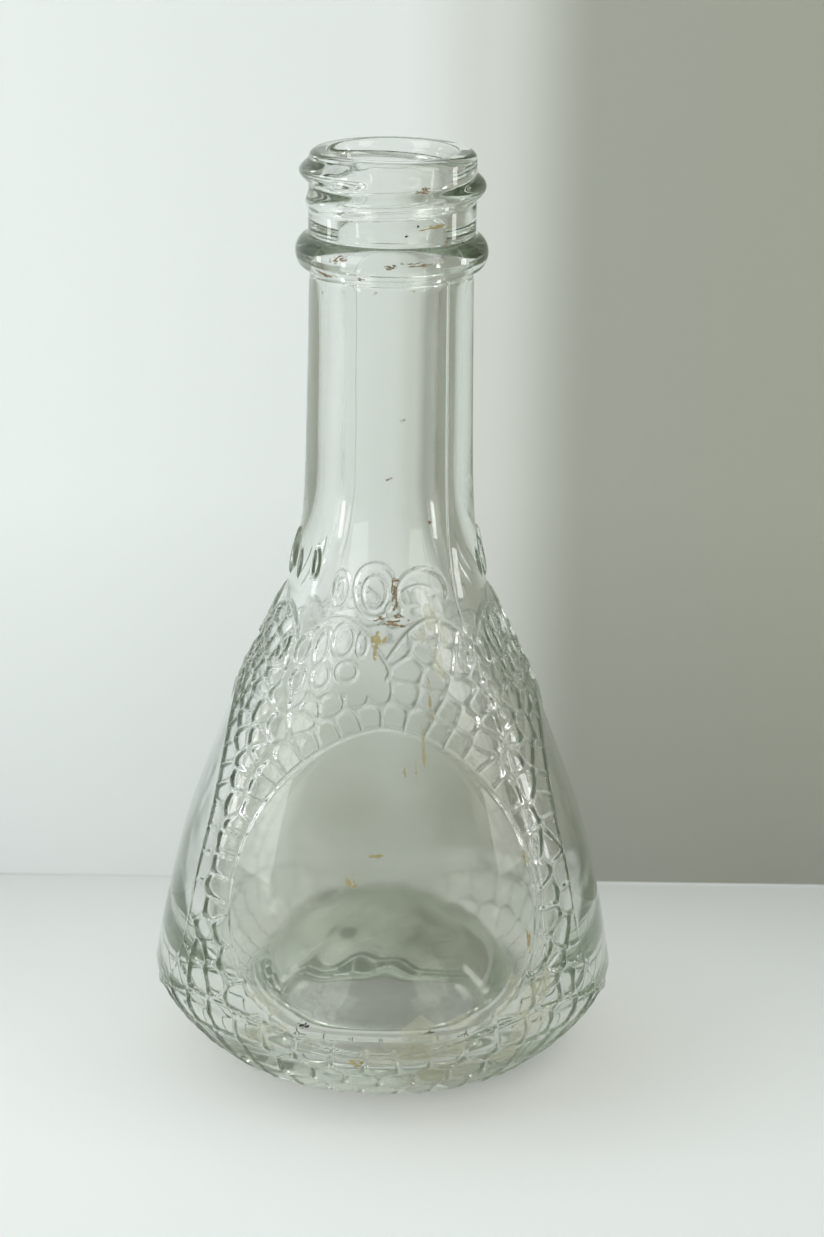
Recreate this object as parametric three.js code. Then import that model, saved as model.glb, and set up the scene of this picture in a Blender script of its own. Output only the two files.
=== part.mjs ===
// A small moulded glass bottle: a round foot, a wide conical body with four smooth window panels,
// a long straight neck, a transfer bead and a right-hand screw finish. It is one piece of glass.
// Millimetres, +Z up. The origin is the centre of the foot, on the surface that it stands on.
// Azimuth 0 is the front, which faces -Y, and azimuths grow anticlockwise seen from above.
import * as THREE from 'three';

// Driving dimensions
const totalHeight = 100.5;
const bodyRadius = 25.2;
const cornerHeight = 10.3;
const footRadius = 15;
const footLandWidth = 2.0;
const pushUpHeight = 11;
const heelRoundness = 1.4;
const neckRadius = 8.7;
const neckTop = 87.9;

const beadRadius = 10.2;
const beadHeight = 3.8;
const finishRadius = 8.86;

const threadPitch = 2.95;
const threadDepth = 1.0;
const threadWidth = 2.7;
const threadStartHeight = 95.4;
const threadStartAzimuth = -84;
const threadTurns = 1.2;
const threadFadeTurns = 0.07;
const threadCrestSharpness = 1.2;

const lipRounding = 0.9;
const lipLandOuterRadius = 8.0;
const lipLandInnerRadius = 7.1;
const mouthRadius = 6.7;
const mouthRounding = 1.3;

// The body has four slightly bulging panels, so its cross-section is a rounded square between
// these heights. Squareness is what is added at the middle to the exponent of a circle.
const circleExponent = 2;
const panelBottom = cornerHeight;
const panelTop = 54;
const panelSquareness = 1.1;
const panelSquarenessFullness = 1.2;

const segments = 48;
const threadRowStep = 0.5;
const lipEdgeSteps = 3;
const pushUpSteps = 8;
const heelSteps = 6;
const beadSteps = 8;
const outerStretchSteps = 2;
const innerStretchSteps = 1;

// Radius and height of the outer wall, from the corner above the heel up to the neck
const outerWall = [
    [bodyRadius, cornerHeight],
    [24.1, 16.5],
    [22.05, 25],
    [19.05, 33.4],
    [15.55, 42.9],
    [12.3, 50],
    [10.6, 54],
    [9.65, 58],
    [9.1, 64],
    [8.87, 74],
    [neckRadius, neckTop],
];

// Radius and height of the inner wall, from the mouth down the bore and the cavity's side to the
// trough, and over the dome that the push-up raises in the cavity's floor
const innerWall = [
    [mouthRadius, totalHeight - mouthRounding],
    [5.9, 92],
    [5.15, 84],
    [5.05, 72],
    [5.2, 63],
    [6.6, 57],
    [9.4, 50.5],
    [12.9, 42.9],
    [16.5, 33.4],
    [19.3, 25],
    [20.6, 17.5],
    [20.4, 11.5],
    [18.8, 7.4],
    [16.4, 6.4],
    [14.6, 9],
    [10.5, 13.3],
    [5.3, 15.6],
    [0, 16.3],
];

const quarterTurn = Math.PI / 2;

function splinePoints(corners, pointsPerStretch) {
    const curve = new THREE.SplineCurve(corners.map(([radius, height]) => new THREE.Vector2(radius, height)));
    return curve.getPoints((corners.length - 1) * pointsPerStretch);
}

function arcPoints(centreRadius, centreHeight, radialSize, verticalSize, fromAngle, toAngle, steps) {
    const arc = new THREE.EllipseCurve(
        centreRadius, centreHeight, radialSize, verticalSize, fromAngle, toAngle, fromAngle > toAngle,
    );
    return arc.getPoints(steps);
}

// The domed push-up under the foot, from the axis out to the foot's flat land
function pushUpPoints() {
    const landInnerRadius = footRadius - footLandWidth;
    return arcPoints(0, 0, landInnerRadius, pushUpHeight, quarterTurn, 0, pushUpSteps);
}

// The rounded heel between the foot and the widest corner, as a quarter of a superellipse
function heelPoints() {
    const points = [];
    for (let step = 0; step <= heelSteps; step += 1) {
        const angle = quarterTurn * step / heelSteps;
        const outward = Math.sin(angle) ** (2 / heelRoundness);
        const upward = 1 - Math.cos(angle) ** (2 / heelRoundness);
        const radius = footRadius + (bodyRadius - footRadius) * outward;
        points.push(new THREE.Vector2(radius, cornerHeight * upward));
    }
    return points;
}

function beadPoints() {
    const bulge = beadRadius - neckRadius;
    const middle = neckTop + beadHeight / 2;
    return arcPoints(neckRadius, middle, bulge, beadHeight / 2, -quarterTurn, quarterTurn, beadSteps);
}

function finishPoints() {
    const bottom = neckTop + beadHeight + threadRowStep;
    const top = totalHeight - lipRounding;
    const steps = Math.round((top - bottom) / threadRowStep);
    const points = [];
    for (let step = 0; step < steps; step += 1) {
        points.push(new THREE.Vector2(finishRadius, bottom + (top - bottom) * step / steps));
    }
    return points;
}

// The lip: a rounded outer edge, a flat land on top and a rounded inner edge
function lipPoints() {
    const outerEdge = arcPoints(
        lipLandOuterRadius, totalHeight - lipRounding,
        finishRadius - lipLandOuterRadius, lipRounding, 0, quarterTurn, lipEdgeSteps,
    );
    const innerEdge = arcPoints(
        lipLandInnerRadius, totalHeight - mouthRounding,
        lipLandInnerRadius - mouthRadius, mouthRounding, quarterTurn, 2 * quarterTurn, lipEdgeSteps,
    );
    return [...outerEdge, ...innerEdge];
}

// How square the cross-section is at a height: the exponent of a superellipse, where 2 is a circle
function sectionExponent(height) {
    if (height <= panelBottom || height >= panelTop) return circleExponent;
    const along = (height - panelBottom) / (panelTop - panelBottom);
    return circleExponent + panelSquareness * Math.sin(Math.PI * along) ** panelSquarenessFullness;
}

function sectionFactor(height, azimuth) {
    const exponent = sectionExponent(height);
    const across = Math.abs(Math.sin(azimuth)) ** exponent;
    const along = Math.abs(Math.cos(azimuth)) ** exponent;
    return (across + along) ** (-1 / exponent);
}

// How far one turn of the thread stands out at a point, where turn counts from the thread's start
function threadRise(turn, height) {
    const toNearerEnd = Math.min(turn, threadTurns - turn);
    if (toNearerEnd <= 0) return 0;
    const offset = (height - threadStartHeight - threadPitch * turn) / (threadWidth / 2);
    if (Math.abs(offset) >= 1) return 0;
    const fade = Math.sin(quarterTurn * Math.min(1, toNearerEnd / threadFadeTurns));
    return threadDepth * fade * Math.cos(quarterTurn * offset) ** threadCrestSharpness;
}

function threadHeightAt(azimuth, height) {
    const fromStart = THREE.MathUtils.radToDeg(azimuth) - threadStartAzimuth;
    const firstTurn = THREE.MathUtils.euclideanModulo(fromStart, 360) / 360;
    return Math.max(threadRise(firstTurn, height), threadRise(firstTurn + 1, height));
}

function makeBottleGeometry() {
    const outer = [
        ...pushUpPoints(),
        ...heelPoints(),
        ...splinePoints(outerWall, outerStretchSteps).slice(1, -1),
        ...beadPoints(),
        ...finishPoints(),
    ];
    const inner = splinePoints(innerWall, innerStretchSteps).slice(1);
    const profile = [...outer, ...lipPoints(), ...inner];
    const geometry = new THREE.LatheGeometry(profile, segments);
    geometry.rotateX(quarterTurn);

    const position = geometry.getAttribute('position');
    const threadedRows = outer.length + lipEdgeSteps;
    for (let index = 0; index < position.count; index += 1) {
        const height = position.getZ(index);
        const azimuth = Math.floor(index / profile.length) * 2 * Math.PI / segments;
        const onFinish = index % profile.length < threadedRows && height > neckTop + beadHeight;
        const radius = Math.hypot(position.getX(index), position.getY(index));
        const threadHeight = onFinish ? threadHeightAt(azimuth, height) : 0;
        const shaped = radius * sectionFactor(height, azimuth) + threadHeight;
        position.setXY(index, shaped * Math.sin(azimuth), -shaped * Math.cos(azimuth));
    }
    geometry.computeVertexNormals();
    return geometry;
}

const clearGlass = new THREE.MeshStandardMaterial({
    name: 'clear_glass',
    color: 0xdfe8e2,
    roughness: 0.05,
    metalness: 0,
    transparent: true,
    opacity: 0.35,
});

const bottle = new THREE.Mesh(makeBottleGeometry(), clearGlass);
bottle.name = 'glass_bottle';

const part = new THREE.Group();
part.add(bottle);

export default part;
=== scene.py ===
"""A small moulded glass bottle: a conical body with four smooth window panels in a raised net, a
long neck and a screw finish. The shape is worked in millimetres and handed to Blender in metres."""

import math
import random

import bmesh
import bpy
import numpy as np
from mathutils import Matrix, Vector, kdtree


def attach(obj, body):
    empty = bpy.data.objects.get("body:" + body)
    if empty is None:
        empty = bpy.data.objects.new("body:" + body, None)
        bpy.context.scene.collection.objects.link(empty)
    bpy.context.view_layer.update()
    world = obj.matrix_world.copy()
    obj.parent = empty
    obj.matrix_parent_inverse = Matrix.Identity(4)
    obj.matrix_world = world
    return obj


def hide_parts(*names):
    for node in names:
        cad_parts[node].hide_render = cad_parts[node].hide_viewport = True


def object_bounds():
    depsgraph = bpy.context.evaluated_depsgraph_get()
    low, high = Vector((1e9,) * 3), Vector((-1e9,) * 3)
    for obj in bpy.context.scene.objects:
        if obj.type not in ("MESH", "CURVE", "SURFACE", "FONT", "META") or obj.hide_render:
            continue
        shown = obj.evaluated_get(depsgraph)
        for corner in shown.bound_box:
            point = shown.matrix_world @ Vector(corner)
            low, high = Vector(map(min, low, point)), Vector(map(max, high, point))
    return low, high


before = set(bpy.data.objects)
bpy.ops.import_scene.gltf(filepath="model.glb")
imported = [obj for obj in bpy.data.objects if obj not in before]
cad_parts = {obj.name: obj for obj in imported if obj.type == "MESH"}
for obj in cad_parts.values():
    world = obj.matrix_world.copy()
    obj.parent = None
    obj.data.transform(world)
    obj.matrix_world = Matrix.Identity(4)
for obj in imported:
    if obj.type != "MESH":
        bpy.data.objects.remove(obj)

cad_low, cad_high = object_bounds()

MM = 0.001
TAU = 2 * math.pi
HEIGHT = (cad_high.z - cad_low.z) / MM
BODY_RADIUS = (cad_high.x - cad_low.x) / 2 / MM

# Foot and heel
CORNER_HEIGHT = 10.3
FOOT_RADIUS = 15.0
FOOT_LAND = 2.0
PUSH_UP = 11.0
HEEL_ROUNDNESS = 1.4

# Neck and finish
NECK_RADIUS = 8.7
NECK_TOP = 87.9
BEAD_RADIUS = 10.2
BEAD_HEIGHT = 3.8
FINISH_RADIUS = 8.86
THREAD_PITCH = 2.95
THREAD_DEPTH = 1.0
THREAD_WIDTH = 2.7
THREAD_START = 95.4
THREAD_START_AZIMUTH = math.radians(-84)
THREAD_TURNS = 1.2
THREAD_FADE = 0.07
THREAD_CREST = 1.2
LIP_ROUNDING = 0.9
LIP_OUTER = 8.0
LIP_INNER = 7.1
MOUTH_RADIUS = 6.7
MOUTH_ROUNDING = 1.3

# The body's rounded-square section, as what is added to a circle's exponent
CIRCLE_EXPONENT = 2
PANEL_TOP = 54.0
PANEL_SQUARENESS = 1.1
PANEL_FULLNESS = 1.2

OUTER_WALL = [
    (BODY_RADIUS, CORNER_HEIGHT), (24.1, 16.5), (22.05, 25), (19.05, 33.4), (15.55, 42.9),
    (12.3, 50), (10.6, 54), (9.65, 58), (9.1, 64), (8.87, 74), (NECK_RADIUS, NECK_TOP),
]
INNER_WALL = [
    (MOUTH_RADIUS, HEIGHT - MOUTH_ROUNDING), (5.9, 92), (5.15, 84), (5.05, 72), (5.2, 63),
    (6.6, 57), (9.4, 50.5), (12.9, 42.9), (16.5, 33.4), (19.3, 25), (20.6, 17.5), (20.4, 11.5),
    (18.8, 7.4), (16.4, 6.4), (14.6, 9), (10.5, 13.3), (5.3, 15.6), (0, 16.3),
]

# How finely the walls are meshed and their curves sampled
FINE, MEDIUM = 1152, 192
WALL_STEP, NECK_STEP, INNER_STEP = 0.2, 1.0, 0.8
HEEL_STEPS, ROUND_STEPS, FINISH_STEPS = 60, 24, 40
LIP_STEPS, MOUTH_STEPS = 8, 10
ABOVE_BEAD = 0.3
SKIN_STEP, SKIN_AZIMUTHS = 0.25, 181
OUTLINE_SAMPLES, OUTLINE_POINTS, BORDER_POINTS, STROKE_POINTS = 400, 240, 900, 1500

# Window panels: one on each side, egg shaped
WINDOW_TOP = 42.0
WINDOW_WIDEST = 22.0
WINDOW_BOTTOM = 9.7
WINDOW_HALF_WIDTH = (16.3, 14.3)
WINDOW_EXPONENTS = (0.6, 0.3)
PANELS = 4

# Swells on the dome inside: where they end and how high they are, over how far they die out towards
# its edge and its top, and each wave's radians per millimetre along x and y and its start
DOME_EDGE, DOME_TOP, DOME_SWELL = 14.5, 17.0, 0.3
DOME_FADES = (4, 3)
DOME_WAVES = ((0.42, 0.2, 0.8), (-0.21, 0.5, 0.0), (1.1, -0.9, 0.0))
SMALL_WAVE = 0.25

# Glass: lengths are in metres, but the heights in HAZE_UP are in millimetres
GLASS_BOUNCES = 24
GLASS_IOR = 1.51
GLASS_TINT = (0.71, 0.75, 0.68, 1)
GLASS_DENSITY = 65.0
INNER_ATTRIBUTE = "inner_wall"
OUTER_ROUGHNESS = 0.01
INNER_ROUGHNESS = (0.08, 0.22)
HAZE_UP = ((14.0, 24.0, 50.0, 60.0), (0.35, 1.0, 1.0, 0.4))
FILM_FROM = 0.75
FILM_HEIGHTS = (0.034, 0.052)
FILM_COVER = (0.5, 1.0)
FILM_COLOUR = (0.66, 0.67, 0.58)
SMEAR_SCALE, SMEAR_DETAIL = 70.0, 4.0
SMEAR_TO_FILM, SMEAR_TO_HAZE = (0.3, 0.7), (0.35, 0.75)
WAVE_SCALE, WAVE_DETAIL = 190.0, 1.0
WAVE_DEPTH = (0.00002, 0.00012)

# Residue materials: dark and light tones, roughness, and how little shows through
CRUSTS = {
    "rust": ((0.12, 0.08, 0.04), (0.35, 0.26, 0.15), 0.8, 1.0),
    "ochre": ((0.32, 0.26, 0.10), (0.50, 0.44, 0.22), 0.6, 1.0),
    "soot": ((0.01, 0.01, 0.01), (0.08, 0.07, 0.06), 0.9, 1.0),
    "stain": ((0.46, 0.45, 0.30), (0.60, 0.59, 0.44), 0.7, 0.3),
}
CRUST_SCALE, CRUST_DETAIL = 2500.0, 3.0
CRUST_RELIEF = 0.00005

# Stage paint, by metres, with painted light and shade: the wall's colours across it, lighter on the
# left with a painted shadow to the right, and the floor's out from under the bottle, with a painted
# contact shadow under it and painted shade far away
WALL_PAINTED_SHADE = [(-0.05, (0.95, 0.98, 0.98)), (0.0, (0.90, 0.93, 0.92)), (0.011, (0.75, 0.77, 0.73)),
              (0.024, (0.41, 0.42, 0.37)), (0.05, (0.40, 0.41, 0.35))]
STAGE_REACH, WALL_Y = 0.9, 0.049
# Where the floor's painted contact shadow is centred, and its painted shade by distance from there
SHADOW_CENTRE = (0.003, 0.002, 0)
FLOOR_PAINTED_SHADOW = [(0.010, (0.42, 0.43, 0.41)), (0.021, (0.80, 0.81, 0.79)), (0.05, (0.86, 0.88, 0.87)),
               (0.20, (0.48, 0.49, 0.47))]
PAINT_ROUGHNESS = 0.85
CREASE = (0.0002, 0.0004)
# Both get painted shade towards the line where they meet: how far out that starts, and the darkest
# share
FOLD_UP_WALL, FOLD_OVER_FLOOR, FOLD_PAINTED_SHADE = 0.05, 0.08, 0.76
# The room's light, from its bright side to its dark side, which is in front and to the right
DARK_SIDE = (0.6, -0.8, -0.2)
ROOM_SHADE = [(-1, (0.95, 1.0, 1.0)), (0, (0.88, 0.92, 0.9)), (1, (0.28, 0.29, 0.26))]
ROOM_STRENGTH = 0.98

# Area lights: name, place, what they face, size, power, colour. Two soft ones in front light the
# shoulder, and a narrow one on each side catches the ribs.
LIGHTS = [
    ("softbox_left", (-0.36, -0.27, 0.28), (0, 0, 0.05), (0.28, 0.36), 0.8, (0.96, 0.99, 1.0)),
    ("softbox_right", (0.36, -0.27, 0.28), (0, 0, 0.05), (0.22, 0.3), 0.5, (1.0, 0.99, 0.95)),
    ("side_left", (-0.35, 0.03, 0.08), (0, 0, 0.03), (0.05, 0.12), 0.09, (1, 1, 1)),
    ("side_right", (0.35, 0.02, 0.08), (0, 0, 0.03), (0.05, 0.12), 0.12, (1, 1, 1)),
]

# Camera
CAMERA_PLACE = (0.0027, -0.3881, 0.1679)
CAMERA_PITCH, CAMERA_ROLL = math.radians(17), math.radians(0.85)
CAMERA_LENS, CAMERA_SENSOR = 108.8, 36

# Dried residue: azimuth in degrees, height, half width, half height, lean in degrees, and how many
# pairs of flakes
RUST = [(22, 97.7, 0.5, 0.28, 0, 8), (19, 97.5, 0.5, 0.15, 0, 4), (40, 92.0, 0.2, 0.35, 0, 4),
        (-32, 90.5, 0.55, 0.25, -20, 8), (-37, 90.2, 0.5, 0.15, 0, 4), (0, 90.0, 0.5, 0.25, 0, 6),
        (18, 90.2, 0.9, 0.15, -10, 8), (8, 90.3, 0.5, 0.12, 0, 3), (-44, 88.5, 1.1, 0.2, 25, 12),
        (-18, 88.5, 0.45, 0.16, 0, 4), (-10, 87.0, 0.2, 0.16, 0, 3), (-55, 86.2, 0.15, 0.2, 0, 2),
        (15, 87.2, 0.3, 0.14, 0, 3), (29, 62.5, 0.22, 0.3, 20, 4), (0, 67.2, 0.3, 0.2, 0, 4),
        (5, 56.4, 0.35, 0.3, 0, 7), (5, 55.2, 0.3, 0.8, 5, 12), (2, 52.2, 0.9, 0.3, 0, 10),
        (-3, 52.6, 0.6, 0.25, -15, 6), (7, 52.8, 0.5, 0.25, 15, 6), (5, 53.8, 0.3, 0.6, 0, 5)]
OCHRE = [(32, 93.8, 1.3, 0.2, -8, 12), (-5, 50.4, 0.5, 0.8, 10, 12), (-5, 48.9, 0.35, 0.5, 0, 6),
         (18, 44.7, 0.14, 1.6, -14, 6), (14, 40.7, 0.14, 2.0, -14, 8), (11, 38.0, 0.1, 0.9, -12, 4),
         (7, 37.7, 0.2, 0.4, 0, 4), (-9, 26.7, 0.6, 0.4, 35, 9), (-2, 29.4, 0.8, 0.2, 0, 6),
         (40, 28.7, 0.25, 0.7, 0, 6), (38, 20.0, 0.25, 1.0, 0, 8), (-6, 7.3, 0.8, 0.4, 0, 8)]
SOOT = [(18, 94.0, 0.12, 0.12, 0, 1), (10, 93.0, 0.15, 0.1, 0, 1), (56, 91.7, 0.15, 0.1, 0, 1),
        (9, 73.5, 0.2, 0.12, 0, 4), (-19, 11.5, 0.55, 0.3, -20, 9), (12, 11.2, 0.6, 0.12, -15, 5)]
# Thin stains over the net, low on the right
STAIN = [(14, 7.0, 6.0, 4.0, 0, 6), (19, 8.5, 4.5, 3.0, 0, 4), (36, 13.0, 3.0, 5.0, 10, 5),
         (-30, 10.0, 3.5, 2.6, 0, 4), (26, 50.0, 1.6, 3.0, 10, 4)]
FLAKE_RINGS, FLAKE_SIDES = 3, 14
FLAKE_LOBES = ((2, 0.22), (3, 0.16), (5, 0.1))
FLAKE_THICKNESS, FLAKE_ROOT = 0.05, 0.03
FLAKE_SPREAD, FLAKE_SIZES = 0.6, (0.14, 0.42)
WALL_SLACK = 0.03
COARSE_HEEL_STEPS = 20
MELT_DISTANCE = 1e-7

# The raised net
NET_SEED = 7
NET_TOP = 60.0
NET_BOTTOM = 0.9
RIB_HEIGHT = 0.4
RIB_HALF_WIDTH = 0.3
BELT_LOW, BELT_RISE = 8.4, 3.3
LOBE_LOW, LOBE_RISE = 48.3, 4.0
LOBE_AZIMUTH = math.radians(24)
OVAL_LOW = 45.0
CELL_BLEND = 0.7
ROWS, FIRST_ROW, ROW_PITCH, ROW_SPACING = 11, 1.3, 2.4, (2.5, 2.1)
CLOSEST_CELLS = 0.78
# Cells stray more low down, and left of a window from the second row on
LOOSE_BELOW, LOOSE_LEFT_OF, LOOSE_OUTSIDE = 33.0, -4, 2
STRAY = {False: 0.25, True: 0.75}
# How far a cell's centre may be over the net's upper edge, and must be over the belt
OVER_TOP, OVER_BELT = 1, 0.8
# How near any window's border it may come: a little less than its own row does, up to a limit
WINDOW_REACH, WINDOW_SLACK = 5, 0.9
# Rows on the heel: how many, cells in the first and how many fewer in each next, and how close; how
# far under the belt the first is, the pitch, the first row that is level, and straying in radians
# sideways and millimetres up
HEEL_ROWS, HEEL_CELLS, FEWER_CELLS, CLOSEST_HEEL_CELLS = 4, 42, 5, 2.2
HEEL_FIRST, HEEL_PITCH, HEEL_LEVEL_ROW = 1.7, 3.4, 3
HEEL_STRAY = (0.012, 0.2)
# Ribs wander in height: their middle share and how far they go from it, and the waves along x and z
RIB_SHARE, RIB_WANDER = 0.8, 0.2
RIB_WAVE_X, RIB_WAVE_Z = (3.1, 1.7), (2.7, 0.4)
# How crisp a window's border is, by height, and how far from it the net is soft where it isn't
BORDER_CRISP = ((22.0, 34.0), (0.1, 1.0))
SOFT_BORDER = 1.2
# The ribs' share of their height low down, by height
HEEL_RIBS = ((2.0, 9.0, 12.0), (0.6, 0.8, 1.0))

# The mould's parting lines
SEAM_AZIMUTH = math.radians(43)
SEAM_HEIGHT, SEAM_HALF_WIDTH = 0.09, 0.22

# Loops raised on the shoulder: azimuth from a panel's middle in degrees, height, half width,
# half height
OVALS = [(-53, 48.5, 0.6, 1.3), (-41, 48.9, 0.75, 1.5), (-31, 49.3, 0.7, 1.8),
         (-21, 50.2, 1.15, 1.6), (-11.5, 49.9, 0.55, 1.1), (-38, 46.0, 0.75, 1.2),
         (-28, 46.6, 0.95, 1.2), (-17, 47.3, 1.1, 0.95)]
RINGS = [(-7, 55.4, 2.2, 2.75), (-7, 55.1, 1.25, 1.7), (4, 53.4, 0.75, 0.8), (-28, 55.1, 1.0, 1.9),
         (-28, 55.1, 0.45, 1.0), (-50, 57.2, 0.45, 1.5)]
ARCH = (21.5, 54.9, 2.75, 2.6)
ARCH_ENDS = (-0.2, math.pi)
LOOP_STEPS = 90
# Leaves: azimuth from a panel's middle in degrees, height, half height, and how proud they stand
PETALS = [(8, 57.6, 2.2, 0.55), (-1, 56.6, 2.3, 0.55), (-12, 56.4, 1.6, 0.3), (20, 56.4, 1.6, 0.3)]
PETAL_PANELS = (1, 3)
PETAL_HALF_WIDTH, PETAL_LEAN = 0.6, 0.12


# ---------------------------------------------------------------- profile
def spline(corners, step):
    """Points along a Catmull-Rom curve through the corners, about step apart."""
    pts = np.array(corners, float)
    ends = np.vstack([2 * pts[0] - pts[1], pts, 2 * pts[-1] - pts[-2]])
    out = []
    for i in range(len(pts) - 1):
        p0, p1, p2, p3 = ends[i : i + 4]
        count = max(2, int(round(np.linalg.norm(p2 - p1) / step)))
        t = (np.arange(count) / count)[:, None]
        out.append(0.5 * (2 * p1 + (p2 - p0) * t + (2 * p0 - 5 * p1 + 4 * p2 - p3) * t**2
                          + (3 * p1 - 3 * p2 + p3 - p0) * t**3))
    out.append(pts[-1:])
    return np.vstack(out)


def arc(centre, size, start, end, count):
    a = np.linspace(start, end, count + 1)
    return np.column_stack([centre[0] + size[0] * np.cos(a), centre[1] + size[1] * np.sin(a)])


def normals(tangent):
    """Unit vectors to the right of each tangent."""
    length = np.linalg.norm(tangent, axis=1)[:, None]
    return np.column_stack([tangent[:, 1], -tangent[:, 0]]) / length


def heel(count):
    a = np.linspace(0, math.pi / 2, count + 1)
    out = np.sin(a) ** (2 / HEEL_ROUNDNESS)
    up = 1 - np.cos(a) ** (2 / HEEL_ROUNDNESS)
    return np.column_stack([FOOT_RADIUS + (BODY_RADIUS - FOOT_RADIUS) * out, CORNER_HEIGHT * up])


def section_exponent(height):
    """The superellipse exponent of the body's section: 2 is a circle, and more is squarer."""
    along = np.clip((height - CORNER_HEIGHT) / (PANEL_TOP - CORNER_HEIGHT), 0, 1)
    return CIRCLE_EXPONENT + PANEL_SQUARENESS * np.abs(np.sin(math.pi * along)) ** PANEL_FULLNESS


def section(height, azimuth):
    """The body's radius at an azimuth, as a share of its radius at a panel's middle."""
    n = section_exponent(height)
    return (np.abs(np.sin(azimuth)) ** n + np.abs(np.cos(azimuth)) ** n) ** (-1 / n)


def thread_rise(height, azimuth):
    """How far the screw thread stands out of the finish."""
    rise = np.zeros(np.broadcast(height, azimuth).shape)
    first = ((azimuth - THREAD_START_AZIMUTH) % TAU) / TAU
    for turn in (first, first + 1):
        offset = (height - THREAD_START - THREAD_PITCH * turn) / (THREAD_WIDTH / 2)
        bulge = np.cos(math.pi / 2 * np.clip(offset, -1, 1)) ** THREAD_CREST
        fade = np.clip(np.minimum(turn, THREAD_TURNS - turn) / THREAD_FADE, 0, 1)
        rise = np.maximum(rise, THREAD_DEPTH * bulge * np.sin(math.pi / 2 * fade))
    return rise


# ---------------------------------------------------------------- raised net
def window_half_width(height, panel):
    widest = WINDOW_HALF_WIDTH[panel % 2]
    over, under = WINDOW_EXPONENTS
    up = np.clip((height - WINDOW_WIDEST) / (WINDOW_TOP - WINDOW_WIDEST), 0, 1)
    down = np.clip((WINDOW_WIDEST - height) / (WINDOW_WIDEST - WINDOW_BOTTOM), 0, 1)
    return widest * (1 - up**2) ** over * (1 - down**2) ** under


def belt_height(azimuth):
    return BELT_LOW + BELT_RISE * np.sin(2 * azimuth) ** 2


def net_top(azimuth):
    """The net ends in two lobes over each panel, with a plain notch between them."""
    local = np.abs((azimuth + math.pi / 4) % (math.pi / 2) - math.pi / 4)
    return LOBE_LOW + LOBE_RISE * (1 - ((local - LOBE_AZIMUTH) / LOBE_AZIMUTH) ** 2)


def cells_top(azimuth):
    """The net's cells stop lower in each left-hand lobe, under its row of ovals."""
    local = (azimuth + math.pi / 4) % (math.pi / 2) - math.pi / 4
    return np.where(local < 0, np.minimum(net_top(azimuth), OVAL_LOW), net_top(azimuth))


class Skin:
    """The outer wall as a surface, with lengths across a panel and up the wall."""

    def __init__(self):
        wall = np.vstack([heel(HEEL_STEPS), spline(OUTER_WALL, SKIN_STEP)[1:]])
        self.radius, self.height = wall[:, 0], wall[:, 1]
        steps = np.hypot(np.diff(self.radius), np.diff(self.height))
        self.length = np.concatenate([[0], np.cumsum(steps)])
        self.azimuth = np.linspace(0, math.pi / 2, SKIN_AZIMUTHS)

    def at(self, azimuth, height):
        r = np.interp(height, self.height, self.radius) * section(height, azimuth)
        return np.column_stack([r * np.sin(azimuth), -r * np.cos(azimuth), height])

    def across(self, height):
        """Arc length from a panel's middle to each of self.azimuth, at one height."""
        pts = self.at(self.azimuth, np.full(self.azimuth.shape, float(height)))
        return np.concatenate([[0], np.cumsum(np.linalg.norm(np.diff(pts, axis=0), axis=1))])

    def azimuth_at(self, across, height):
        return math.copysign(np.interp(abs(across), self.across(height), self.azimuth), across)

    def up(self, height):
        return np.interp(height, self.height, self.length)

    def height_at(self, up):
        return float(np.interp(up, self.length, self.height))


def window_outline(skin, panel):
    """The outline in (across, up), anticlockwise, with its points evenly spread."""
    a = np.linspace(-math.pi / 2, math.pi / 2, OUTLINE_SAMPLES)
    middle, half = (WINDOW_TOP + WINDOW_BOTTOM) / 2, (WINDOW_TOP - WINDOW_BOTTOM) / 2
    heights = middle + half * np.sin(a)
    widths = window_half_width(heights, panel)
    side = []
    for z, w in zip(heights, widths):
        radius = np.interp(z, skin.height, skin.radius)
        n = section_exponent(z)
        depth = radius * (1 - min(1, w / radius) ** n) ** (1 / n)
        side.append((np.interp(math.atan2(w, depth), skin.azimuth, skin.across(z)), skin.up(z)))
    side = np.array(side)
    loop = np.vstack([side, side[::-1] * (-1, 1)])
    steps = np.hypot(*np.diff(loop, axis=0).T)
    along = np.concatenate([[0], np.cumsum(steps)])
    even = np.linspace(0, along[-1], OUTLINE_POINTS, endpoint=False)
    return np.column_stack([np.interp(even, along, loop[:, 0]), np.interp(even, along, loop[:, 1])])


def tree_of(points):
    tree = kdtree.KDTree(len(points))
    for i, p in enumerate(points):
        tree.insert(p, i)
    tree.balance()
    return tree


def distances(tree, points):
    return np.array([tree.find(p)[2] for p in points])


def smooth_min(a, b, blend):
    h = np.clip(1 - np.abs(a - b) / blend, 0, 1)
    return np.minimum(a, b) - h * h * blend / 4


def unevenness(points):
    """The ribs' share of their full height, which wanders up and down along them."""
    x, y, z = points.T
    (along, start), (up, lean) = RIB_WAVE_X, RIB_WAVE_Z
    return RIB_SHARE + RIB_WANDER * np.sin(along * x + start) * np.sin(up * z + lean * y)


def ridge(distance, half_width):
    """A smooth rib's share of its height, by the distance from its middle."""
    return np.cos(math.pi / 2 * np.clip(distance / half_width, 0, 1)) ** 2


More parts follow.
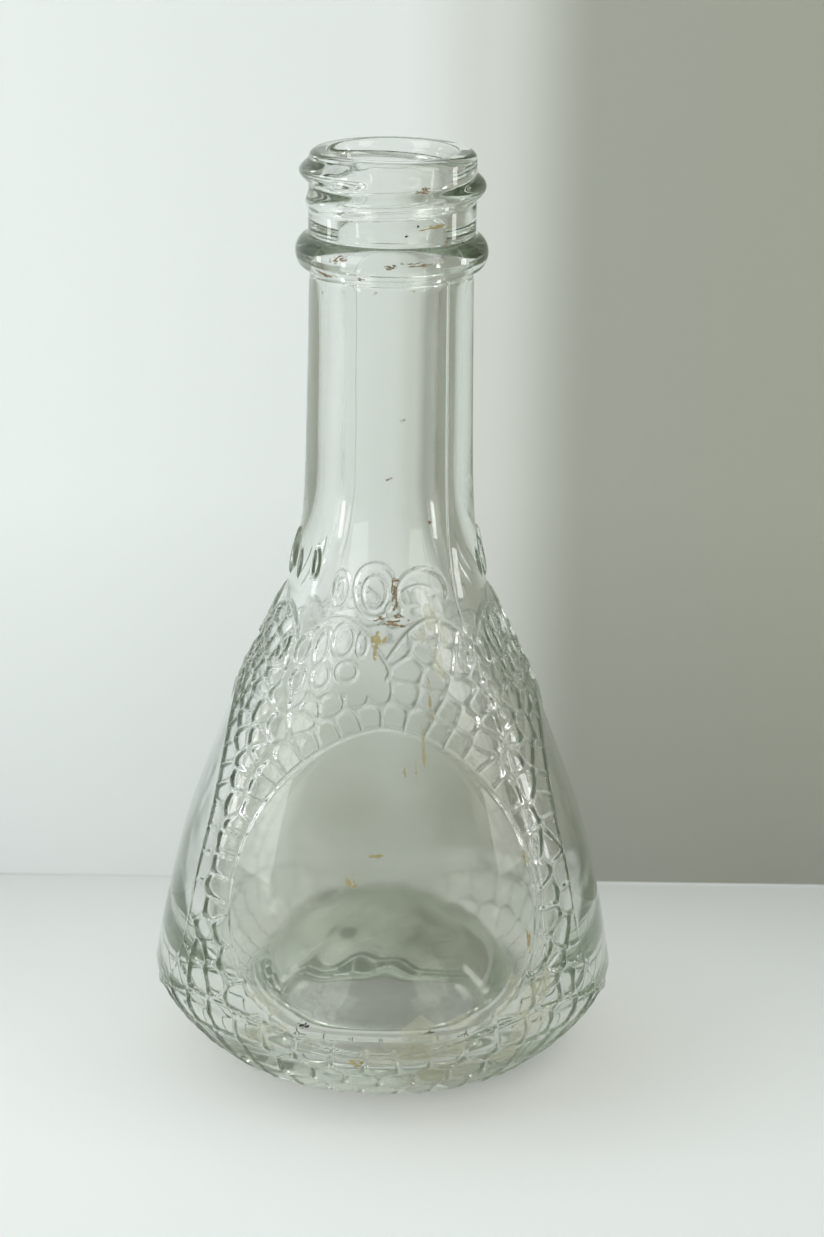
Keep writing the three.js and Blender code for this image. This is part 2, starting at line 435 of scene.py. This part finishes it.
class Net:
    """Cells in rows that follow the window panels, with a raised rib along every cell border."""

    def __init__(self, skin):
        self.skin = skin
        self.random = random.Random(NET_SEED)
        self.outlines = [window_outline(skin, p) for p in range(PANELS)]
        self.border_trees = [tree_of(self.place(o, p)) for p, o in enumerate(self.outlines)]
        self.centres = []
        for row in range(ROWS):
            for panel in range(PANELS):
                self.row_round_window(panel, FIRST_ROW + row * ROW_PITCH, ROW_SPACING[row > 1])
        for row in range(HEEL_ROWS):
            self.row_on_heel(row)
        self.cells = tree_of(self.centres)
        self.strokes = tree_of(self.stroke_points())
        self.fine_borders = tree_of(self.border_points())

    def place(self, plane_points, panel):
        """Points of the wall from (across, up) on a panel."""
        turn = panel * math.pi / 2
        out = []
        for across, up in plane_points:
            z = self.skin.height_at(up)
            azimuth = turn + self.skin.azimuth_at(across, z)
            out.append(self.skin.at(np.array([azimuth]), np.array([z]))[0])
        return np.array(out)

    def accept(self, point, gap):
        """Takes the point as a cell's centre, unless it is too near another."""
        if all((Vector(point) - Vector(c)).length >= gap for c in self.centres):
            self.centres.append(tuple(point))

    def row_round_window(self, panel, out, spacing):
        loop = self.outlines[panel]
        tangent = np.roll(loop, -3, axis=0) - np.roll(loop, 3, axis=0)
        curve = loop + normals(tangent) * out
        steps = np.hypot(*np.diff(np.vstack([curve, curve[:1]]), axis=0).T)
        total = steps.sum()
        count = max(1, round(total / spacing))
        along = np.concatenate([[0], np.cumsum(steps)])
        for i in range(count):
            at = (i + 0.5 * (round(out) % 2)) * total / count
            j = int(np.searchsorted(along, at % total)) % len(curve)
            low = self.skin.height_at(curve[j][1]) < LOOSE_BELOW
            on_left = curve[j][0] < LOOSE_LEFT_OF and out > LOOSE_OUTSIDE
            stray = STRAY[bool(low or on_left)]
            strayed = (self.random.uniform(-stray, stray), self.random.uniform(-stray, stray))
            across, up = curve[j] + strayed
            z = self.skin.height_at(up)
            if not 0 < up < self.skin.length[-1] or abs(across) > self.skin.across(z)[-1]:
                continue
            point = self.place([(across, up)], panel)[0]
            azimuth = math.atan2(point[0], -point[1])
            if z > net_top(azimuth) + OVER_TOP or z < belt_height(azimuth) + OVER_BELT:
                continue
            nearest = min(t.find(point)[2] for t in self.border_trees)
            if nearest > min(out, WINDOW_REACH) - WINDOW_SLACK:
                self.accept(point, spacing * CLOSEST_CELLS)

    def row_on_heel(self, row):
        belt = self.skin.up(belt_height(np.array([0.0])))[0]
        count = HEEL_CELLS - FEWER_CELLS * row
        sideways, upwards = HEEL_STRAY
        for i in range(count):
            azimuth = (i + 0.5 * (row % 2)) * TAU / count + self.random.uniform(-sideways, sideways)
            rise = self.skin.up(belt_height(np.array([azimuth])))[0] - belt
            up = belt - HEEL_FIRST - HEEL_PITCH * row + rise * max(0, 1 - row / HEEL_LEVEL_ROW)
            up += self.random.uniform(-upwards, upwards)
            if up > 0:
                z = self.skin.height_at(up)
                point = self.skin.at(np.array([azimuth]), np.array([z]))[0]
                self.accept(point, CLOSEST_HEEL_CELLS)

    def stroke_points(self):
        """The belt, the net's upper edge and the garland round the shoulder."""
        around = np.linspace(0, TAU, STROKE_POINTS, endpoint=False)
        points = [self.skin.at(around, belt_height(around)), self.skin.at(around, net_top(around))]
        for panel in range(PANELS):
            points += self.garland(panel)
        return np.vstack(points)

    def border_points(self):
        """The windows' borders, with points close enough together to raise a smooth rib."""
        points = []
        for panel, outline in enumerate(self.outlines):
            fine = np.linspace(0, len(outline), BORDER_POINTS, endpoint=False)
            index = np.arange(len(outline) + 1)
            closed = np.vstack([outline, outline[:1]])
            even = [np.interp(fine, index, closed[:, side]) for side in (0, 1)]
            points.append(self.place(np.column_stack(even), panel))
        return np.vstack(points)

    def loop(self, panel, azimuth, height, across, tall, start=0.0, end=TAU):
        a = np.linspace(start, end, LOOP_STEPS)
        z = height + tall * np.sin(a)
        radius = np.interp(z, self.skin.height, self.skin.radius)
        turn = panel * math.pi / 2 + math.radians(azimuth) + across * np.cos(a) / radius
        return self.skin.at(turn, z)

    def garland(self, panel):
        """Ovals in every left-hand lobe, and rings and an arch on the front of the shoulder."""
        loops = [self.loop(panel, *oval) for oval in OVALS]
        if panel == 0:
            loops += [self.loop(panel, *one) for one in RINGS]
            loops.append(self.loop(panel, *ARCH, *ARCH_ENDS))
        return loops

    def petals(self, azimuth, height):
        """Leaf-shaped bosses on the shoulder, over the middle of each side panel."""
        rise = np.zeros(azimuth.shape)
        for panel in PETAL_PANELS:
            for middle, z, tall, proud in PETALS:
                off = azimuth - math.radians(middle) - panel * math.pi / 2
                off = (off + math.pi) % TAU - math.pi
                radius = np.interp(height, self.skin.height, self.skin.radius)
                across = off * radius + PETAL_LEAN * (height - z)
                shape = 1 - (across / PETAL_HALF_WIDTH) ** 2 - ((height - z) / tall) ** 2
                rise = np.maximum(rise, proud * np.sqrt(np.clip(shape, 0, 1)))
        return rise

    def rise(self, azimuth, height, points):
        """How far the net stands out of the wall at each point."""
        near = [self.cells.find_n(p, 3) for p in points]
        first = np.array([n[0][0][:] for n in near])
        reach = np.array([[m[2] for m in n] for n in near])
        edges = []
        for k in (1, 2):
            other = np.array([n[k][0][:] for n in near])
            gap = np.maximum(np.linalg.norm(other - first, axis=1), 1e-6)
            edges.append((reach[:, k] ** 2 - reach[:, 0] ** 2) / (2 * gap))
        edge = smooth_min(edges[0], edges[1], CELL_BLEND)
        top, stroke = cells_top(azimuth), distances(self.strokes, points)
        netted = (height < top) & (height > NET_BOTTOM)
        for panel in range(PANELS):
            off = (azimuth - panel * math.pi / 2 + math.pi) % TAU - math.pi
            across = np.hypot(points[:, 0], points[:, 1]) * np.sin(off)
            within = np.abs(across) < window_half_width(height, panel)
            inside = (np.abs(off) < math.pi / 2) & within
            netted &= ~(inside & (height > WINDOW_BOTTOM) & (height < WINDOW_TOP))
        uneven = unevenness(points)
        beside = distances(self.fine_borders, points)
        crisp = np.interp(height, *BORDER_CRISP)
        shown = np.maximum(crisp, np.clip(beside / SOFT_BORDER, 0, 1))
        rise = np.where(netted, RIB_HEIGHT * uneven * shown * ridge(edge, RIB_HALF_WIDTH), 0)
        rise = np.maximum(rise, RIB_HEIGHT * crisp * ridge(beside, RIB_HALF_WIDTH))
        rise = rise * np.interp(height, *HEEL_RIBS)
        low_edge = np.clip(height - NET_BOTTOM, 0, 1)
        rise = np.maximum(rise, RIB_HEIGHT * ridge(stroke, RIB_HALF_WIDTH) * low_edge)
        return np.maximum(rise, self.petals(azimuth, height))


def dome_waves(radius, height, azimuth):
    """Chill marks on the dome inside the bottle: swells that die out at its top and its edge."""
    x, y = radius * np.sin(azimuth), -radius * np.cos(azimuth)
    first, second, small = (np.sin(by_x * x + by_y * y + start) for by_x, by_y, start in DOME_WAVES)
    swell = first * second + SMALL_WAVE * small
    to_edge, to_top = DOME_FADES
    on_dome = np.clip((DOME_EDGE - radius) / to_edge, 0, 1) * np.clip(radius / to_top, 0, 1)
    return DOME_SWELL * swell * on_dome * (height < DOME_TOP)


def seam_rise(azimuth, radius):
    """The mould's two parting lines, which run up opposite corners."""
    off = (azimuth - SEAM_AZIMUTH + math.pi / 2) % math.pi - math.pi / 2
    return SEAM_HEIGHT * ridge(np.abs(off) * radius, SEAM_HALF_WIDTH)


# ---------------------------------------------------------------- mesh building
def ring(radii, heights, azimuths):
    r = np.broadcast_to(radii, azimuths.shape)
    z = np.broadcast_to(heights, azimuths.shape)
    return np.column_stack([r * np.sin(azimuths), -r * np.cos(azimuths), z])


def azimuths(count):
    return np.arange(count) * TAU / count


class Shell:
    """Collects rings of points, joined by quads, into one closed surface of revolution."""

    def __init__(self):
        self.points, self.faces, self.last, self.count = [], [], None, 0

    def _add(self, pts):
        start = self.count
        self.points.append(pts)
        self.count += len(pts)
        return np.arange(start, self.count)

    def pole(self, height):
        here = self._add(np.array([[0, 0, height]]))
        if self.last is not None:
            n = len(self.last)
            for i in range(n):
                self.faces.append((self.last[i], self.last[(i + 1) % n], here[0]))
        self.last = here

    def ring(self, pts):
        here = self._add(pts)
        before, n = self.last, len(here)
        if before is not None and len(before) == 1:
            self.faces += [(before[0], here[(i + 1) % n], here[i]) for i in range(n)]
        elif before is not None and len(before) == n:
            after = np.roll(np.arange(n), -1)
            self.faces += list(zip(before, before[after], here[after], here))
        elif before is not None:
            self._step(before, here)
        self.last = here

    def _step(self, low, high):
        """Joins two rings where one has several times the other's points."""
        many, few, flip = (low, high, False) if len(low) > len(high) else (high, low, True)
        k = len(many) // len(few)
        for i in range(len(few)):
            a, b = few[i], few[(i + 1) % len(few)]
            strip = [many[(i * k + j) % len(many)] for j in range(k + 1)]
            half = k // 2
            fans = [(strip[j], strip[j + 1], a) for j in range(half)]
            fans.append((strip[half], b, a))
            fans += [(strip[j], strip[j + 1], b) for j in range(half, k)]
            self.faces += [f[::-1] for f in fans] if flip else fans

    def make(self, name):
        mesh = bpy.data.meshes.new(name)
        pts = np.vstack(self.points) * MM
        mesh.from_pydata(pts.tolist(), [], [tuple(int(v) for v in f) for f in self.faces])
        mesh.polygons.foreach_set("use_smooth", [True] * len(mesh.polygons))
        mesh.validate()
        mesh.update()
        obj = bpy.data.objects.new(name, mesh)
        bpy.context.collection.objects.link(obj)
        return obj


def netted_wall(azimuth):
    """The rings of the outer wall from the foot to the end of the net, with the net raised."""
    net = Net(Skin())
    upper = [p for p in spline(OUTER_WALL, WALL_STEP)[1:] if p[1] < NET_TOP]
    wall = np.vstack([heel(HEEL_STEPS), upper])
    tangent = np.gradient(wall, axis=0)
    rings = []
    for (r, z), (out, up) in zip(wall, normals(tangent)):
        points = ring(r * section(z, azimuth), z, azimuth)
        rise = net.rise(azimuth, np.full(azimuth.shape, z), points)
        rise = rise + seam_rise(azimuth, r) * np.clip(z / CORNER_HEIGHT, 0, 1)
        rings.append(ring(r * section(z, azimuth) + rise * out, z + rise * up, azimuth))
    return rings


def make_bottle():
    """The bottle as one closed surface, from the push-up's crown to the dome inside."""
    fine, medium = azimuths(FINE), azimuths(MEDIUM)
    shell = Shell()
    shell.pole(PUSH_UP)
    quarter, land_inner = math.pi / 2, FOOT_RADIUS - FOOT_LAND
    for r, z in arc((0, 0), (land_inner, PUSH_UP), quarter, 0, ROUND_STEPS)[1:]:
        shell.ring(ring(r, z, medium))
    for points in netted_wall(fine):
        shell.ring(points)
    for r, z in spline(OUTER_WALL, NECK_STEP)[1:]:
        if z > NET_TOP:
            shell.ring(ring(r + seam_rise(fine, r), z, fine))
    middle, bulge = NECK_TOP + BEAD_HEIGHT / 2, (BEAD_RADIUS - NECK_RADIUS, BEAD_HEIGHT / 2)
    for r, z in arc((NECK_RADIUS, middle), bulge, -quarter, quarter, ROUND_STEPS)[1:]:
        shell.ring(ring(r, z, medium))
    bottom, top = NECK_TOP + BEAD_HEIGHT + ABOVE_BEAD, HEIGHT - LIP_ROUNDING
    for z in np.linspace(bottom, top, FINISH_STEPS)[:-1]:
        shell.ring(ring(FINISH_RADIUS + thread_rise(z, medium), z, medium))
    size = FINISH_RADIUS - LIP_OUTER, LIP_ROUNDING
    for r, z in arc((LIP_OUTER, top), size, 0, quarter, LIP_STEPS):
        shell.ring(ring(r + thread_rise(z, medium), z, medium))
    edge, size = (LIP_INNER, HEIGHT - MOUTH_ROUNDING), (LIP_INNER - MOUTH_RADIUS, MOUTH_ROUNDING)
    for r, z in arc(edge, size, quarter, math.pi, MOUTH_STEPS):
        shell.ring(ring(r, z, medium))
    outside_count = shell.count
    for r, z in spline(INNER_WALL, INNER_STEP)[1:-1]:
        shell.ring(ring(r * section(z, medium), z + dome_waves(r, z, medium), medium))
    shell.pole(INNER_WALL[-1][1])
    bottle = shell.make("glass_bottle_fine")
    mark = bottle.data.attributes.new(INNER_ATTRIBUTE, "FLOAT", "POINT")
    inside = np.arange(len(bottle.data.vertices)) >= outside_count
    haze = np.interp(np.vstack(shell.points)[:, 2], *HAZE_UP)
    mark.data.foreach_set("value", np.where(inside, haze, 0.0))
    return bottle


# ---------------------------------------------------------------- dried residue
def outer_radius(height, azimuth):
    """The glass's outside radius without the net, and a little over it up to the bead."""
    if height >= NECK_TOP + BEAD_HEIGHT:
        return FINISH_RADIUS + float(thread_rise(height, azimuth))
    if height > NECK_TOP:
        up = (height - NECK_TOP - BEAD_HEIGHT / 2) / (BEAD_HEIGHT / 2)
        return NECK_RADIUS + (BEAD_RADIUS - NECK_RADIUS) * math.sqrt(1 - up**2)
    wall = np.vstack([heel(COARSE_HEEL_STEPS), OUTER_WALL[1:]])
    return float(np.interp(height, wall[:, 1], wall[:, 0]) * section(height, azimuth)) + WALL_SLACK


def make_flake(draw, azimuth, height, wide, tall, lean):
    """A thin ragged crust that follows the glass: rings of points out to an uneven edge."""
    phases = [draw.uniform(0, TAU) for _ in FLAKE_LOBES]
    points, faces = [], []
    for ring_step in range(FLAKE_RINGS + 1):
        share = ring_step / FLAKE_RINGS
        proud = FLAKE_THICKNESS * (1 - share**3) - FLAKE_ROOT
        for i in range(FLAKE_SIDES):
            a = i * TAU / FLAKE_SIDES
            lobes = zip(FLAKE_LOBES, phases)
            ragged = 1 + sum(depth * math.sin(lobe * a + phase) for (lobe, depth), phase in lobes)
            x, y = share * ragged * wide * math.cos(a), share * ragged * tall * math.sin(a)
            z = height + y * math.cos(lean) - x * math.sin(lean)
            sideways = x * math.cos(lean) + y * math.sin(lean)
            turn = azimuth + sideways / outer_radius(height, azimuth)
            r = outer_radius(z, turn) + proud
            points.append((r * math.sin(turn) * MM, -r * math.cos(turn) * MM, z * MM))
    for ring_step in range(FLAKE_RINGS):
        for i in range(FLAKE_SIDES):
            j = (i + 1) % FLAKE_SIDES
            low, high = ring_step * FLAKE_SIDES, (ring_step + 1) * FLAKE_SIDES
            faces.append((low + i, high + i, high + j, low + j))
    return points, faces


def make_residue(name, crusts, material):
    """One piece from many crusts, each grown into a few flakes beside each other."""
    draw = random.Random(name)
    points, faces = [], []
    for azimuth, height, wide, tall, lean, flakes in crusts:
        for _ in range(flakes * 2):
            spread = 0.0 if flakes == 1 else FLAKE_SPREAD
            turn = math.radians(azimuth) + draw.gauss(0, spread) * wide / outer_radius(height, 0)
            rise = height + draw.gauss(0, spread) * tall
            size = draw.uniform(*FLAKE_SIZES) if flakes > 1 else 1.0
            more, rim = make_flake(draw, turn, rise, wide * size, tall * size, math.radians(lean))
            faces += [tuple(v + len(points) for v in face) for face in rim]
            points += more
    mesh = bpy.data.meshes.new(name)
    mesh.from_pydata(points, [], faces)
    mesh.polygons.foreach_set("use_smooth", [True] * len(mesh.polygons))
    mesh.update()
    bm = bmesh.new()
    bm.from_mesh(mesh)
    bmesh.ops.remove_doubles(bm, verts=bm.verts, dist=MELT_DISTANCE)
    bm.to_mesh(mesh)
    bm.free()
    obj = bpy.data.objects.new(name, mesh)
    bpy.context.collection.objects.link(obj)
    mesh.materials.append(material)
    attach(obj, "root")


# ---------------------------------------------------------------- materials
def node_material(name):
    material = bpy.data.materials.new(name)
    material.use_nodes = True
    nodes = material.node_tree.nodes
    return material, nodes, material.node_tree.links, nodes["Principled BSDF"]


def noise_of(nodes, links, place, scale, detail):
    noise = nodes.new("ShaderNodeTexNoise")
    noise.inputs["Scale"].default_value = scale
    noise.inputs["Detail"].default_value = detail
    links.new(place, noise.inputs["Vector"])
    return noise.outputs["Fac"]


def product(nodes, links, first, second):
    node = nodes.new("ShaderNodeMath")
    node.operation = "MULTIPLY"
    links.new(first, node.inputs[0])
    links.new(second, node.inputs[1])
    return node.outputs[0]


def ranged(nodes, links, value, low, high, to_low, to_high):
    """Maps value's stretch from low to high onto to_low to to_high, each a number or a socket."""
    node = nodes.new("ShaderNodeMapRange")
    links.new(value, node.inputs["Value"])
    ends = {"From Min": low, "From Max": high, "To Min": to_low, "To Max": to_high}
    for name, end in ends.items():
        if isinstance(end, (int, float)):
            node.inputs[name].default_value = end
        else:
            links.new(end, node.inputs[name])
    return node.outputs["Result"]


def filmed(nodes, links, place, inside, smear):
    """The glass's own white, going over to the colour of dried film low inside the body."""
    axes = nodes.new("ShaderNodeSeparateXYZ")
    links.new(place, axes.inputs[0])
    low_down = ranged(nodes, links, axes.outputs["Z"], *FILM_HEIGHTS, 1, 0)
    patchy = ranged(nodes, links, smear, *SMEAR_TO_FILM, *FILM_COVER)
    cover = product(nodes, links, product(nodes, links, inside, low_down), patchy)
    return ramp_of(nodes, links, cover, [(0, (1, 1, 1)), (1, FILM_COLOUR)])


def make_glass_material():
    """Old clear glass: smooth outside, slightly wavy, and hazier inside with dried-on film."""
    material, nodes, links, shader = node_material("clear_glass_fine")
    shader.inputs["IOR"].default_value = GLASS_IOR
    shader.inputs["Transmission Weight"].default_value = 1.0
    place = nodes.new("ShaderNodeTexCoord").outputs["Object"]
    inner = nodes.new("ShaderNodeAttribute")
    inner.attribute_name = INNER_ATTRIBUTE
    smear = noise_of(nodes, links, place, SMEAR_SCALE, SMEAR_DETAIL)
    inside = ranged(nodes, links, inner.outputs["Fac"], 0, FILM_FROM, 0, 1)
    links.new(filmed(nodes, links, place, inside, smear), shader.inputs["Base Color"])
    haze = ranged(nodes, links, smear, *SMEAR_TO_HAZE, *INNER_ROUGHNESS)
    rough = ranged(nodes, links, inner.outputs["Fac"], 0, 1, OUTER_ROUGHNESS, haze)
    links.new(rough, shader.inputs["Roughness"])
    wave = noise_of(nodes, links, place, WAVE_SCALE, WAVE_DETAIL)
    bump = nodes.new("ShaderNodeBump")
    bump.inputs["Strength"].default_value = 1.0
    bump.inputs["Distance"].default_value = 1.0
    depth = ranged(nodes, links, inner.outputs["Fac"], 0, 1, *WAVE_DEPTH)
    links.new(product(nodes, links, wave, depth), bump.inputs["Height"])
    links.new(bump.outputs["Normal"], shader.inputs["Normal"])
    absorb = nodes.new("ShaderNodeVolumeAbsorption")
    absorb.inputs["Color"].default_value = GLASS_TINT
    absorb.inputs["Density"].default_value = GLASS_DENSITY
    links.new(absorb.outputs[0], nodes["Material Output"].inputs["Volume"])
    return material


def make_crust_material(name):
    """Dried dirt: two tones mixed by fine noise, matt and grainy."""
    dark, light, roughness, cover = CRUSTS[name]
    material, nodes, links, shader = node_material(name)
    place = nodes.new("ShaderNodeTexCoord").outputs["Object"]
    grain = noise_of(nodes, links, place, CRUST_SCALE, CRUST_DETAIL)
    links.new(ramp_of(nodes, links, grain, [(0, dark), (1, light)]), shader.inputs["Base Color"])
    shader.inputs["Roughness"].default_value = roughness
    shader.inputs["Alpha"].default_value = cover
    bump = nodes.new("ShaderNodeBump")
    bump.inputs["Distance"].default_value = CRUST_RELIEF
    links.new(grain, bump.inputs["Height"])
    links.new(bump.outputs["Normal"], shader.inputs["Normal"])
    return material


# ---------------------------------------------------------------- stage, camera, light
def make_stage():
    """A wide pale floor, and a wall that stands on it close behind the bottle."""
    w = STAGE_REACH
    points = [(-w, -w, 0), (w, -w, 0), (w, w, 0), (-w, w, 0)]
    points += [(-w, WALL_Y, 0), (w, WALL_Y, 0), (w, WALL_Y, w), (-w, WALL_Y, w)]
    mesh = bpy.data.meshes.new("studio_sweep")
    mesh.from_pydata(points, [], [(0, 1, 2, 3), (4, 5, 6, 7)])
    obj = bpy.data.objects.new("studio_sweep", mesh)
    bpy.context.collection.objects.link(obj)
    mesh.materials.append(make_paint())


def ramp_of(nodes, links, place, stops):
    """Colours by a value from 0 to 1. The stops are (place, colour) pairs over their own range."""
    node = nodes.new("ShaderNodeValToRGB")
    ramp = node.color_ramp
    ramp.interpolation = "EASE"
    first, last = stops[0][0], stops[-1][0]
    ramp.elements[0].color = (*stops[0][1], 1)
    ramp.elements[1].color = (*stops[-1][1], 1)
    for at, colour in stops[1:-1]:
        ramp.elements.new((at - first) / (last - first)).color = (*colour, 1)
    links.new(place, node.inputs["Fac"])
    return node.outputs["Color"]


def shaded(nodes, links, colour, share):
    """The colour, darkened to a share of itself."""
    node = nodes.new("ShaderNodeVectorMath")
    node.operation = "SCALE"
    links.new(colour, node.inputs[0])
    links.new(share, node.inputs["Scale"])
    return node.outputs[0]


def make_paint():
    """Matt pale paint with painted light and shade. The wall is painted cool and light on the left,
    with a darker, warmer painted shadow on the right, and is clear from behind. The floor has a
    painted contact shadow under the bottle and painted shade far away from it, and both have
    painted shade towards the crease where they meet."""
    material, nodes, links, shader = node_material("studio_paint")
    place = nodes.new("ShaderNodeTexCoord").outputs["Object"]
    axes = nodes.new("ShaderNodeSeparateXYZ")
    links.new(place, axes.inputs[0])
    # The wall's painted light and shadow: light on the left, a painted shadow band on the right
    left, right = WALL_PAINTED_SHADE[0][0], WALL_PAINTED_SHADE[-1][0]
    rightwards = ranged(nodes, links, axes.outputs["X"], left, right, 0, 1)
    wall = ramp_of(nodes, links, rightwards, WALL_PAINTED_SHADE)
    distance = nodes.new("ShaderNodeVectorMath")
    distance.operation = "DISTANCE"
    links.new(place, distance.inputs[0])
    distance.inputs[1].default_value = SHADOW_CENTRE
    # The floor's painted contact shadow round the bottle, and painted shade far out from it
    near, far = FLOOR_PAINTED_SHADOW[0][0], FLOOR_PAINTED_SHADOW[-1][0]
    outwards = ranged(nodes, links, distance.outputs["Value"], near, far, 0, 1)
    floor = ramp_of(nodes, links, outwards, FLOOR_PAINTED_SHADOW)
    # Painted shade on wall and floor towards the crease where they meet
    wall_crease_shade = ranged(nodes, links, axes.outputs["Z"], 0, FOLD_UP_WALL, FOLD_PAINTED_SHADE, 1)
    fold_start = WALL_Y - FOLD_OVER_FLOOR
    floor_crease_shade = ranged(nodes, links, axes.outputs["Y"], fold_start, WALL_Y, 1, FOLD_PAINTED_SHADE)
    wall, floor = shaded(nodes, links, wall, wall_crease_shade), shaded(nodes, links, floor, floor_crease_shade)
    mix = nodes.new("ShaderNodeMix")
    mix.data_type = "RGBA"
    links.new(ranged(nodes, links, axes.outputs["Z"], *CREASE, 0, 1), mix.inputs["Factor"])
    links.new(floor, mix.inputs["A"])
    links.new(wall, mix.inputs["B"])
    links.new(mix.outputs["Result"], shader.inputs["Base Color"])
    shader.inputs["Roughness"].default_value = PAINT_ROUGHNESS
    clear = nodes.new("ShaderNodeBsdfTransparent")
    sides = nodes.new("ShaderNodeMixShader")
    links.new(nodes.new("ShaderNodeNewGeometry").outputs["Backfacing"], sides.inputs["Fac"])
    links.new(shader.outputs[0], sides.inputs[1])
    links.new(clear.outputs[0], sides.inputs[2])
    links.new(sides.outputs[0], nodes["Material Output"].inputs["Surface"])
    return material


def make_camera():
    """A long lens, a little above the mouth, looking down at the bottle."""
    data = bpy.data.cameras.new("photo_view")
    data.sensor_width = CAMERA_SENSOR
    data.lens = CAMERA_LENS
    cam = bpy.data.objects.new("photo_view", data)
    bpy.context.collection.objects.link(cam)
    cam.location = CAMERA_PLACE
    cam.rotation_mode = "XYZ"
    tilt = Matrix.Rotation(math.pi / 2 - CAMERA_PITCH, 4, "X")
    cam.rotation_euler = (tilt @ Matrix.Rotation(CAMERA_ROLL, 4, "Z")).to_euler("XYZ")
    bpy.context.scene.camera = cam


def area_light(name, location, target, size, power, colour):
    data = bpy.data.lights.new(name, "AREA")
    data.shape = "RECTANGLE"
    data.size, data.size_y = size
    data.energy = power
    data.color = colour
    obj = bpy.data.objects.new(name, data)
    obj.location = location
    obj.rotation_euler = (Vector(target) - Vector(location)).to_track_quat("-Z", "Y").to_euler()
    bpy.context.collection.objects.link(obj)


def make_room():
    """A bright, even room that is darker to the right of the camera and behind it."""
    world = bpy.data.worlds.new("soft_room")
    world.use_nodes = True
    nodes, links = world.node_tree.nodes, world.node_tree.links
    way = nodes.new("ShaderNodeTexCoord").outputs["Generated"]
    towards = nodes.new("ShaderNodeVectorMath")
    towards.operation = "DOT_PRODUCT"
    links.new(way, towards.inputs[0])
    towards.inputs[1].default_value = Vector(DARK_SIDE).normalized()
    share = ranged(nodes, links, towards.outputs["Value"], -1, 1, 0, 1)
    shade = ramp_of(nodes, links, share, ROOM_SHADE)
    links.new(shade, nodes["Background"].inputs["Color"])
    nodes["Background"].inputs["Strength"].default_value = ROOM_STRENGTH
    bpy.context.scene.world = world
    bpy.context.scene.view_settings.view_transform = "Standard"


def allow_glass_paths():
    """Light crosses the glass and turns back inside it many times before it leaves."""
    cycles = bpy.context.scene.cycles
    cycles.max_bounces = cycles.glossy_bounces = cycles.transmission_bounces = GLASS_BOUNCES


bottle = make_bottle()
bottle.data.materials.append(make_glass_material())
# The bottle casts no shadow of its own; the floor's painted contact shadow stands in for it
bottle.visible_shadow = False
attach(bottle, "root")
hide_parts("glass_bottle")
for kind, crusts in (("rust", RUST), ("ochre", OCHRE), ("soot", SOOT), ("stain", STAIN)):
    make_residue("residue_" + kind, crusts, make_crust_material(kind))
make_stage()
make_camera()
make_room()
for light in LIGHTS:
    area_light(*light)
allow_glass_paths()
